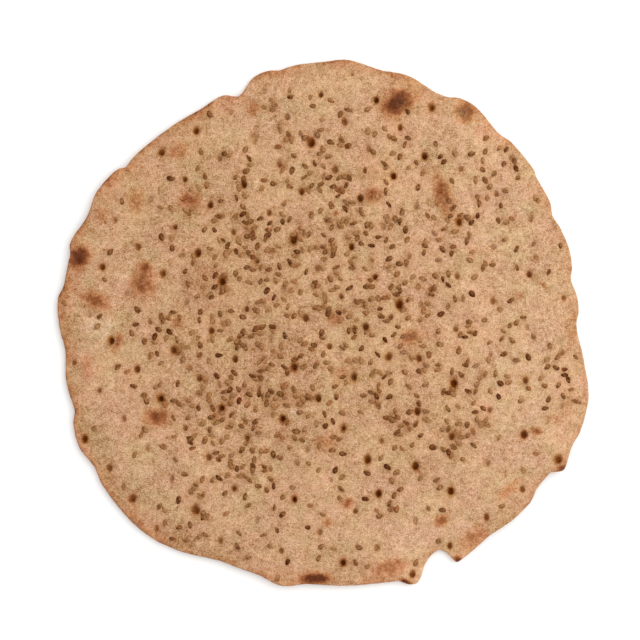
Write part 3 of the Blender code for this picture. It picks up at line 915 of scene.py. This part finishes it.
def crust_mesh(settings, seeds):
    """The bread's dough: top with its pits, rounded edge and underside, with the marks of the oven."""
    plan = bread_plan()
    bm = bmesh.new()
    bake_and_shade_layer, pit_layer, stain_and_shade_layer, under_layer, shade_layer = [
        bm.verts.layers.float.new(name) for name in ("bake_and_shade", "depth", "stain_and_shade", "underside", "shade")
    ]

    top = flat_sheet(bm, settings.segments, plan.outline, EDGE_ROUND)
    rim = rim_of(top)
    outline = [vert.co.xy.normalized() * plan.outline.radius(vert.co.xy) for vert in rim]
    outer = worn_edge(outline, settings)
    inner = inset_ring(outer, EDGE_ROUND)
    for vert, point in zip(rim, inner):
        vert.co = point.to_3d()
    inside = [vert for vert in top if not vert.is_boundary]
    near_rim = [vert for vert in inside if plan.outline.depth(vert.co.xy) < EVENED_WIDTH]
    for _ in range(EVENING_ROUNDS):
        even_out(bm, near_rim)
    cut_pits(bm, list(bm.faces), plan, pit_layer)
    stain_and_shade_top(bm, plan, seeds, stain_and_shade_layer)

    for vert in bm.verts:
        point = vert.co.xy
        height = plan.top(point)
        share = vert[pit_layer]
        place = (point / settings.relief_length).to_3d()
        uneven = noise.fractal(place, RELIEF_ROUGHNESS, RELIEF_STEP, RELIEF_SIZES)
        height += settings.relief * uneven * (1 - share)
        if share > 0:
            floor = plan.underside(point) + PIT_FLOOR
            openness = plan.openness[plan.nearest_pit(point)]
            height += (floor - height) * share * between(PIT_DEPTHS, openness)
            vert.co.xy += PIT_LEAN * share
        vert.co.z = height

    upper = [vert.co.z for vert in rim]
    lower = [plan.underside(point) for point in inner]
    ring = rim
    for step in range(1, settings.edge_steps + 1):
        made = bmesh.ops.extrude_edge_only(bm, edges=edges_between(ring))["geom"]
        ring = in_order(item for item in made if isinstance(item, bmesh.types.BMVert))
        angle = math.pi * step / settings.edge_steps
        for k, vert in enumerate(ring):
            middle, half = (upper[k] + lower[k]) / 2, (upper[k] - lower[k]) / 2
            place = inner[k] + (outer[k] - inner[k]) * math.sin(angle)
            vert.co = (place.x, place.y, middle + half * math.cos(angle))
            vert[under_layer] = smooth_step(2 * step / settings.edge_steps - 1)

    under = flat_sheet(bm, settings.segments // 2, plan.outline, UNDERSIDE_MARGIN)
    for vert in under:
        point = vert.co.xy
        rough = 0.5 + 0.5 * unevenness(point, STONE_LENGTH)
        vert.co.z = plan.underside(point) + STONE_RELIEF * rough
        vert[under_layer] = 1.0
    under_rim = rim_of(under)
    bmesh.ops.bridge_loops(bm, edges=edges_between(ring) + edges_between(under_rim))
    bmesh.ops.recalc_face_normals(bm, faces=bm.faces)

    for vert in bm.verts:
        # The rim's brown grows towards the left, away from the key light, as painted shade
        point = vert.co.xy
        turned = math.radians(degrees_from(RIM_SHADED_BEARING, point))
        brown = between(RIM_BROWNS, 0.5 + 0.5 * math.cos(turned))
        brown *= 1 + RIM_PATCHINESS * unevenness(point, RIM_PATCH_LENGTH)
        brown *= math.exp(-max(plan.outline.depth(point), 0.0) / RIM_WIDTH)
        vert[bake_and_shade_layer] = scorch(point) * (1 - vert[under_layer]) + brown
        vert[shade_layer] = patch_share(point, SHADE_PATCHES, 0.0)
    return bm


def seed_shape():
    """One seed as a mesh, 1 long, 1 thick and about 1 wide, blunt at -X and pointed at +X."""
    bm = bmesh.new()
    seam_and_shade_layer = bm.verts.layers.float.new("seam")
    on_side = Matrix.Rotation(math.pi / 2, 4, "Y")
    bmesh.ops.create_uvsphere(bm, u_segments=SEED_SIDES, v_segments=SEED_RINGS, radius=0.5, matrix=on_side)
    for vert in bm.verts:
        x, y, z = vert.co
        taper = 1 - SEED_TAPER * smooth_step(x + 0.5)
        vert.co = (x, y * taper * SEED_FULLNESS, z * between((1.0, taper), SEED_FLATTENING))
        vert[seam_and_shade_layer] = smooth_step(1 - abs(z) / SEAM_REACH)
    mesh = bpy.data.meshes.new("seed_shape")
    bm.to_mesh(mesh)
    bm.free()
    return mesh


def sesame_mesh(settings):
    """All the seeds, each pressed into the top by its own amount and tilt, and painted with shade on one
    side.
    """
    plan = bread_plan()
    rng = random.Random(RANDOM_SEED + 3)
    shape = seed_shape()
    bm = bmesh.new()
    seam_and_shade_layer, tone_layer, hue_layer = [
        bm.verts.layers.float.new(name) for name in ("seam", "tone", "hue")
    ]
    for point, turn, size in strewn_seeds(settings.count):
        sunk = rng.random() ** SINKING
        tone = clamp(rng.gauss(*SEED_TONE) + SUNK_TONE * sunk, 0.0, SEED_TONE_MOST)
        hue, seam = rng.random(), rng.uniform(*SEAM_AND_SHADE_STRENGTHS) - tone
        gain, start = CHARRING
        charred = clamp(gain * scorch(point) - start)  # 1 is as dark as the seam
        # The side on which this seed is painted with shade, mostly away from the key light
        shaded_side = Vector([rng.gauss(middle, SHADED_SIDE_SPREAD) for middle in SHADED_SIDE])
        top = plan.top(point) + settings.proud + (settings.sunk - settings.proud) * sunk
        lean = clamp(rng.gauss(0, SIDE_LEAN), -SIDE_LEAN_MOST, SIDE_LEAN_MOST)
        tilt = Euler((lean, rng.uniform(-END_LEAN_MOST, END_LEAN_MOST), turn)).to_matrix().to_4x4()
        scale = Matrix.Diagonal((SEED_LENGTH * size, SEED_WIDTH * size, settings.thickness, 1))
        place = Matrix.Translation((point.x, point.y, top - settings.thickness / 2))
        known = len(bm.verts)
        bm.from_mesh(shape)
        bm.verts.ensure_lookup_table()
        made = bm.verts[known:]
        bmesh.ops.transform(bm, matrix=place @ tilt @ scale, verts=made)
        if any((point / MM - Vector(bare)).length < HULLED_REACH for bare in HULLED_SEEDS):
            tone, seam = HULLED_TONE, 0.0
        for vert in made:
            side = (vert.co.xy - point).dot(shaded_side) / (SEED_WIDTH * size)
            dark = SEAM_ALL_ROUND * vert[seam_and_shade_layer] + smooth_step(SHADE_OVERLAP + side)
            vert[seam_and_shade_layer] = max(seam * dark, charred)
            vert[tone_layer] = tone
            vert[hue_layer] = hue
    bpy.data.meshes.remove(shape)
    return bm


class FLATBREAD_OT_crust(bpy.types.Operator):
    """Builds the crust: the dough with its pits, blisters, torn edge and oven marks"""

    bl_idname = "flatbread.crust"
    bl_label = "Crust"

    def execute(self, context):
        settings = context.scene.flatbread_crust
        seeds = strewn_seeds(context.scene.flatbread_sesame.count)
        finished_piece("barley_crust", crust_mesh(settings, seeds), baked_dough(settings))
        return {"FINISHED"}


class FLATBREAD_OT_sesame(bpy.types.Operator):
    """Strews the sesame over the crust"""

    bl_idname = "flatbread.sesame"
    bl_label = "Sesame"

    def execute(self, context):
        settings = context.scene.flatbread_sesame
        finished_piece("sesame_seeds", sesame_mesh(settings), sesame_husk(settings))
        return {"FINISHED"}


class FLATBREAD_OT_stage(bpy.types.Operator):
    """Sets up the pale floor, the soft light and the camera straight above"""

    bl_idname = "flatbread.stage"
    bl_label = "Stage"

    def execute(self, context):
        settings = context.scene.flatbread_stage
        scene = context.scene
        scene.view_settings.view_transform = "Standard"
        scene.view_settings.look = "None"

        bm = bmesh.new()
        below = Matrix.Translation((0, 0, -FLOOR_GAP))
        bmesh.ops.create_grid(bm, x_segments=1, y_segments=1, size=FLOOR_REACH, matrix=below)
        mesh = bpy.data.meshes.new("floor")
        bm.to_mesh(mesh)
        bm.free()
        material, tree = new_material("pale_paper")
        shader = tree.nodes["Principled BSDF"]
        shader.inputs["Base Color"].default_value = settings.floor
        shader.inputs["Roughness"].default_value = 0.9
        shader.inputs["Specular IOR Level"].default_value = 0.1
        mesh.materials.append(material)
        floor = bpy.data.objects.new("floor", mesh)
        scene.collection.objects.link(floor)

        world = bpy.data.worlds.new("white_room")
        world.use_nodes = True
        background = world.node_tree.nodes["Background"]
        background.inputs["Color"].default_value = (1, 1, 1, 1)
        background.inputs["Strength"].default_value = settings.sky
        scene.world = world

        light = bpy.data.lights.new("key", "AREA")
        light.shape = "DISK"
        light.size = KEY_SIZE
        light.energy = settings.key_power
        key = bpy.data.objects.new("key", light)
        key.location = KEY_PLACE
        key.rotation_euler = key.location.to_track_quat("Z", "Y").to_euler()
        scene.collection.objects.link(key)

        camera = bpy.data.cameras.new("camera")
        camera.lens = settings.lens
        camera.sensor_width = SENSOR_WIDTH
        camera.clip_start = NEAREST_VIEW
        camera_object = bpy.data.objects.new("camera", camera)
        distance = settings.view_width * camera.lens / camera.sensor_width
        camera_object.location = (settings.aim_x, settings.aim_y, distance + THICKNESS)
        scene.collection.objects.link(camera_object)
        scene.camera = camera_object
        return {"FINISHED"}


class FLATBREAD_PT_panel(bpy.types.Panel):
    """Lists the flatbread's pieces and their settings"""

    bl_idname = "FLATBREAD_PT_panel"
    bl_label = "Barley Flatbread"
    bl_space_type = "VIEW_3D"
    bl_region_type = "UI"
    bl_category = "Flatbread"

    def draw(self, context):
        for operator, group in (
            (FLATBREAD_OT_crust, context.scene.flatbread_crust),
            (FLATBREAD_OT_sesame, context.scene.flatbread_sesame),
            (FLATBREAD_OT_stage, context.scene.flatbread_stage),
        ):
            box = self.layout.box()
            box.operator(operator.bl_idname)
            for name in group.bl_rna.properties.keys():
                if name not in ("rna_type", "name"):
                    box.prop(group, name)


CLASSES = (
    FlatbreadCrustSettings,
    FlatbreadSesameSettings,
    FlatbreadStageSettings,
    FLATBREAD_OT_crust,
    FLATBREAD_OT_sesame,
    FLATBREAD_OT_stage,
    FLATBREAD_PT_panel,
)


def register():
    for cls in CLASSES:
        bpy.utils.register_class(cls)
    bpy.types.Scene.flatbread_crust = bpy.props.PointerProperty(type=FlatbreadCrustSettings)
    bpy.types.Scene.flatbread_sesame = bpy.props.PointerProperty(type=FlatbreadSesameSettings)
    bpy.types.Scene.flatbread_stage = bpy.props.PointerProperty(type=FlatbreadStageSettings)


def unregister():
    del bpy.types.Scene.flatbread_stage
    del bpy.types.Scene.flatbread_sesame
    del bpy.types.Scene.flatbread_crust
    for cls in reversed(CLASSES):
        bpy.utils.unregister_class(cls)


def main():
    """Builds every piece and the stage."""
    register()
    bpy.ops.flatbread.crust()
    bpy.ops.flatbread.sesame()
    bpy.ops.flatbread.stage()


if __name__ == "__main__":
    main()
